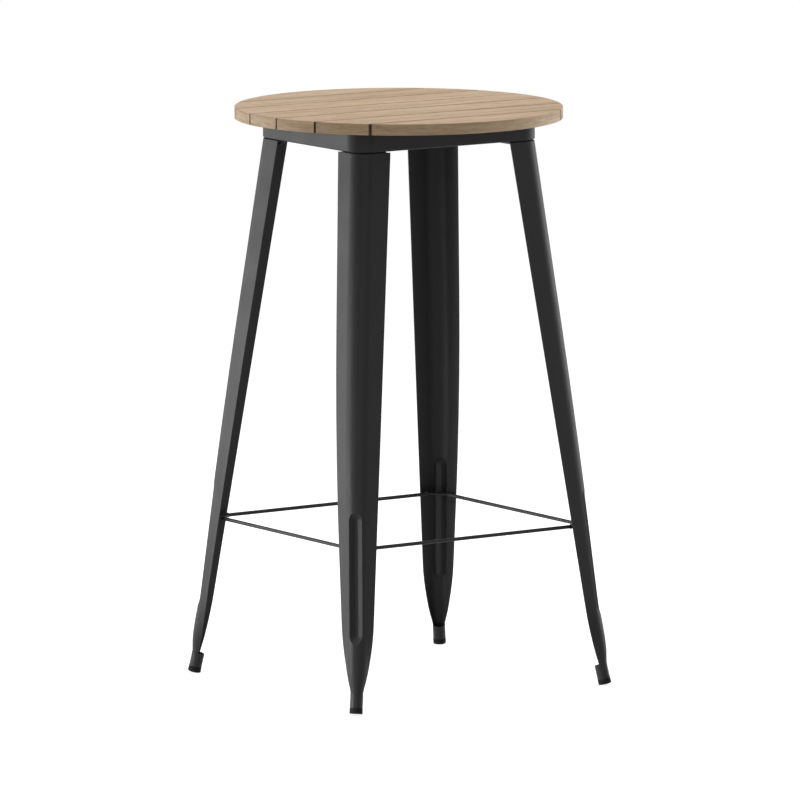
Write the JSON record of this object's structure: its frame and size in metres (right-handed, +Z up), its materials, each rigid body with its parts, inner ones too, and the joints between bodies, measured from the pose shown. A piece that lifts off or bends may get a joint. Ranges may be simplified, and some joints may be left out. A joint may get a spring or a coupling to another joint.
{
  "type": "bar table",
  "caption": "Round slatted wood-look top on a black pressed-steel base: splayed channel legs under a rounded apron, with a rod footrest and capped feet.",
  "frame": {"origin": "on the floor, under the middle of the round top", "axes": "+Z up, X along the planks, Y across them"},
  "size_m": [0.6032, 0.6032, 1.0668],
  "materials": {
    "planks": "satin pale tan wood look with fine grain along the planks",
    "black_steel": "satin black powder coat",
    "zinc_steel": "zinc-plated steel, satin",
    "foot_rubber": "matte black rubber"
  },
  "bodies": {
    "root": {"plank_1": "planks", "plank_2": "planks", "plank_3": "planks", "plank_4": "planks", "plank_5": "planks", "plank_6": "planks", "plank_7": "planks", "batten_left": "black_steel", "batten_middle": "black_steel", "batten_right": "black_steel", "apron_frame": "black_steel", "plank_screws": "zinc_steel", "batten_screws": "zinc_steel", "leg_bolts": "zinc_steel", "leg_washers": "zinc_steel", "leg_nuts": "zinc_steel", "corner_plate_back_right": "black_steel", "corner_plate_back_left": "black_steel", "corner_plate_front_right": "black_steel", "corner_plate_front_left": "black_steel", "leg_plate_back_right": "black_steel", "leg_plate_back_left": "black_steel", "leg_plate_front_right": "black_steel", "leg_plate_front_left": "black_steel", "leg_back_right": "black_steel", "leg_back_left": "black_steel", "leg_front_right": "black_steel", "leg_front_left": "black_steel", "foot_tube_back_right": "black_steel", "foot_tube_back_left": "black_steel", "foot_tube_front_right": "black_steel", "foot_tube_front_left": "black_steel", "footrest_plate_back_right": "black_steel", "footrest_plate_back_left": "black_steel", "footrest_plate_front_right": "black_steel", "footrest_plate_front_left": "black_steel", "foot_cap_back_right": "foot_rubber", "foot_cap_back_left": "foot_rubber", "foot_cap_front_right": "foot_rubber", "foot_cap_front_left": "foot_rubber", "footrest_rod_back": "black_steel", "footrest_rod_front": "black_steel", "footrest_rod_right": "black_steel", "footrest_rod_left": "black_steel"}
  },
  "joints": []
}
